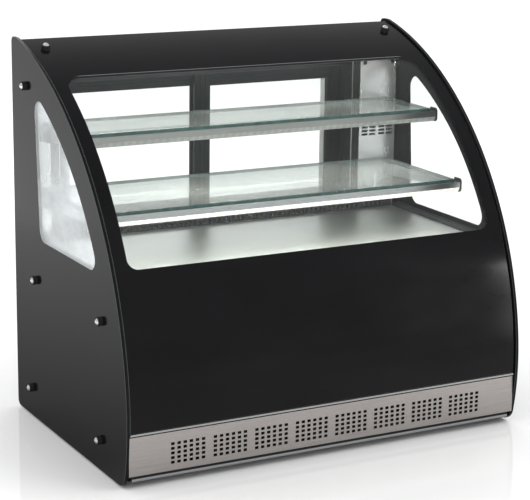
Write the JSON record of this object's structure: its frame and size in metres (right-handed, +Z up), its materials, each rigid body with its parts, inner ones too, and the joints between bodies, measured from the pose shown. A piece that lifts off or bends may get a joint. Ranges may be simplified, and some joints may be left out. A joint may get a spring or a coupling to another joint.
{
  "type": "refrigerated bakery display case",
  "caption": "Countertop refrigerated display case with curved black-bordered front glass, side windows, lit glass shelves, rear sliding doors and a perforated steel kick plate.",
  "frame": {"origin": "middle of the footprint on the counter, under the feet", "axes": "+X to the right seen by a customer, -Y the customer side, +Z up"},
  "size_m": [0.925, 0.5759, 0.8],
  "materials": {
    "black_glass": "gloss, black ceramic print with a clear window",
    "clear_glass": "clear, polished edges",
    "chrome_trim": "polished",
    "stainless": "fine horizontal brushing",
    "bright_aluminium": "satin anodised",
    "dark_frame": "satin dark grey powder coat",
    "galvanised": "dull galvanised",
    "black_plastic": "fine texture",
    "grey_plastic": "satin",
    "rubber_black": "matt",
    "foam": "foam",
    "coil_fins": "finned",
    "copper": "drawn copper tube",
    "machine_black": "gloss black enamel",
    "lens_white": "opal lens",
    "door_glass": "clear"
  },
  "bodies": {
    "cabinet": {"air_column_right": "stainless", "base_pan": "galvanised", "base_side_left": "galvanised", "base_side_right": "galvanised", "bottom_track": "dark_frame", "cable_gland": "black_plastic", "compressor": "machine_black", "condenser_coil": "coil_fins", "condenser_fan_motor": "machine_black", "condenser_shroud": "galvanised", "controller_body": "black_plastic", "deck_panel": "stainless", "deck_rails": "stainless", "door_jambs": "dark_frame", "evaporator_coil": "coil_fins", "evaporator_fan_motor": "machine_black", "evaporator_shroud": "galvanised", "feet": "rubber_black", "front_bulkhead": "galvanised", "front_glass": "black_glass", "front_glass_channel": "bright_aluminium", "front_grille": "stainless", "led_diffusers": "lens_white", "middle_shelf_brackets": "bright_aluminium", "middle_shelf_glass": "clear_glass", "middle_shelf_led_profile": "bright_aluminium", "panel_screws": "stainless", "rear_air_grille": "stainless", "rear_post_left": "dark_frame", "rear_service_panel": "dark_frame", "rear_sill": "galvanised", "refrigerant_pipes": "copper", "shelf_led_end_caps": "black_plastic", "side_glass_left": "black_glass", "side_glass_right": "black_glass", "standoff_caps": "chrome_trim", "standoff_collars": "black_plastic", "standoff_spacers": "black_plastic", "top_housing": "dark_frame", "top_led_housing": "bright_aluminium", "top_track": "dark_frame", "upper_shelf_brackets": "bright_aluminium", "upper_shelf_glass": "clear_glass", "upper_shelf_led_profile": "bright_aluminium", "well_insulation": "foam", "well_liner": "stainless"},
    "door_left": {"left_door_frame": "dark_frame", "left_door_glass": "door_glass", "left_door_pull": "bright_aluminium", "left_door_glides": "grey_plastic"},
    "door_right": {"right_door_frame": "dark_frame", "right_door_glass": "door_glass", "right_door_pull": "bright_aluminium", "right_door_glides": "grey_plastic"},
    "evaporator_fan_rotor": {"evaporator_fan": "black_plastic"},
    "condenser_fan_rotor": {"condenser_fan": "black_plastic"},
    "button_set": {"set_button": "grey_plastic"},
    "button_up": {"up_button": "grey_plastic"},
    "button_down": {"down_button": "grey_plastic"},
    "power_switch": {"power_rocker": "black_plastic"}
  },
  "joints": [
    {"name": "door_left_slide", "type": "slide", "parent": "cabinet", "child": "door_left", "axis": [1, 0, 0], "range_m": [0, 0.33]},
    {"name": "door_right_slide", "type": "slide", "parent": "cabinet", "child": "door_right", "axis": [1, 0, 0], "range_m": [-0.33, 0]},
    {"name": "evaporator_fan_spin", "type": "hinge", "parent": "cabinet", "child": "evaporator_fan_rotor", "pos_m": [-0.06, 0.06, 0.3], "axis": [0, 1, 0], "continuous": true},
    {"name": "condenser_fan_spin", "type": "hinge", "parent": "cabinet", "child": "condenser_fan_rotor", "pos_m": [-0.215, -0.14, 0.108], "axis": [0, 1, 0], "continuous": true},
    {"name": "set_button_press", "type": "slide", "parent": "cabinet", "child": "button_set", "axis": [0, -1, 0], "range_m": [0, 0.0012], "stiffness_N_per_m": 250, "springref_m": -0.0004},
    {"name": "up_button_press", "type": "slide", "parent": "cabinet", "child": "button_up", "axis": [0, -1, 0], "range_m": [0, 0.0012], "stiffness_N_per_m": 250, "springref_m": -0.0004},
    {"name": "down_button_press", "type": "slide", "parent": "cabinet", "child": "button_down", "axis": [0, -1, 0], "range_m": [0, 0.0012], "stiffness_N_per_m": 250, "springref_m": -0.0004},
    {"name": "power_switch_rock", "type": "hinge", "parent": "cabinet", "child": "power_switch", "pos_m": [0.366, 0.2751, 0.305], "axis": [1, 0, 0], "range_deg": [-16, 0]}
  ]
}
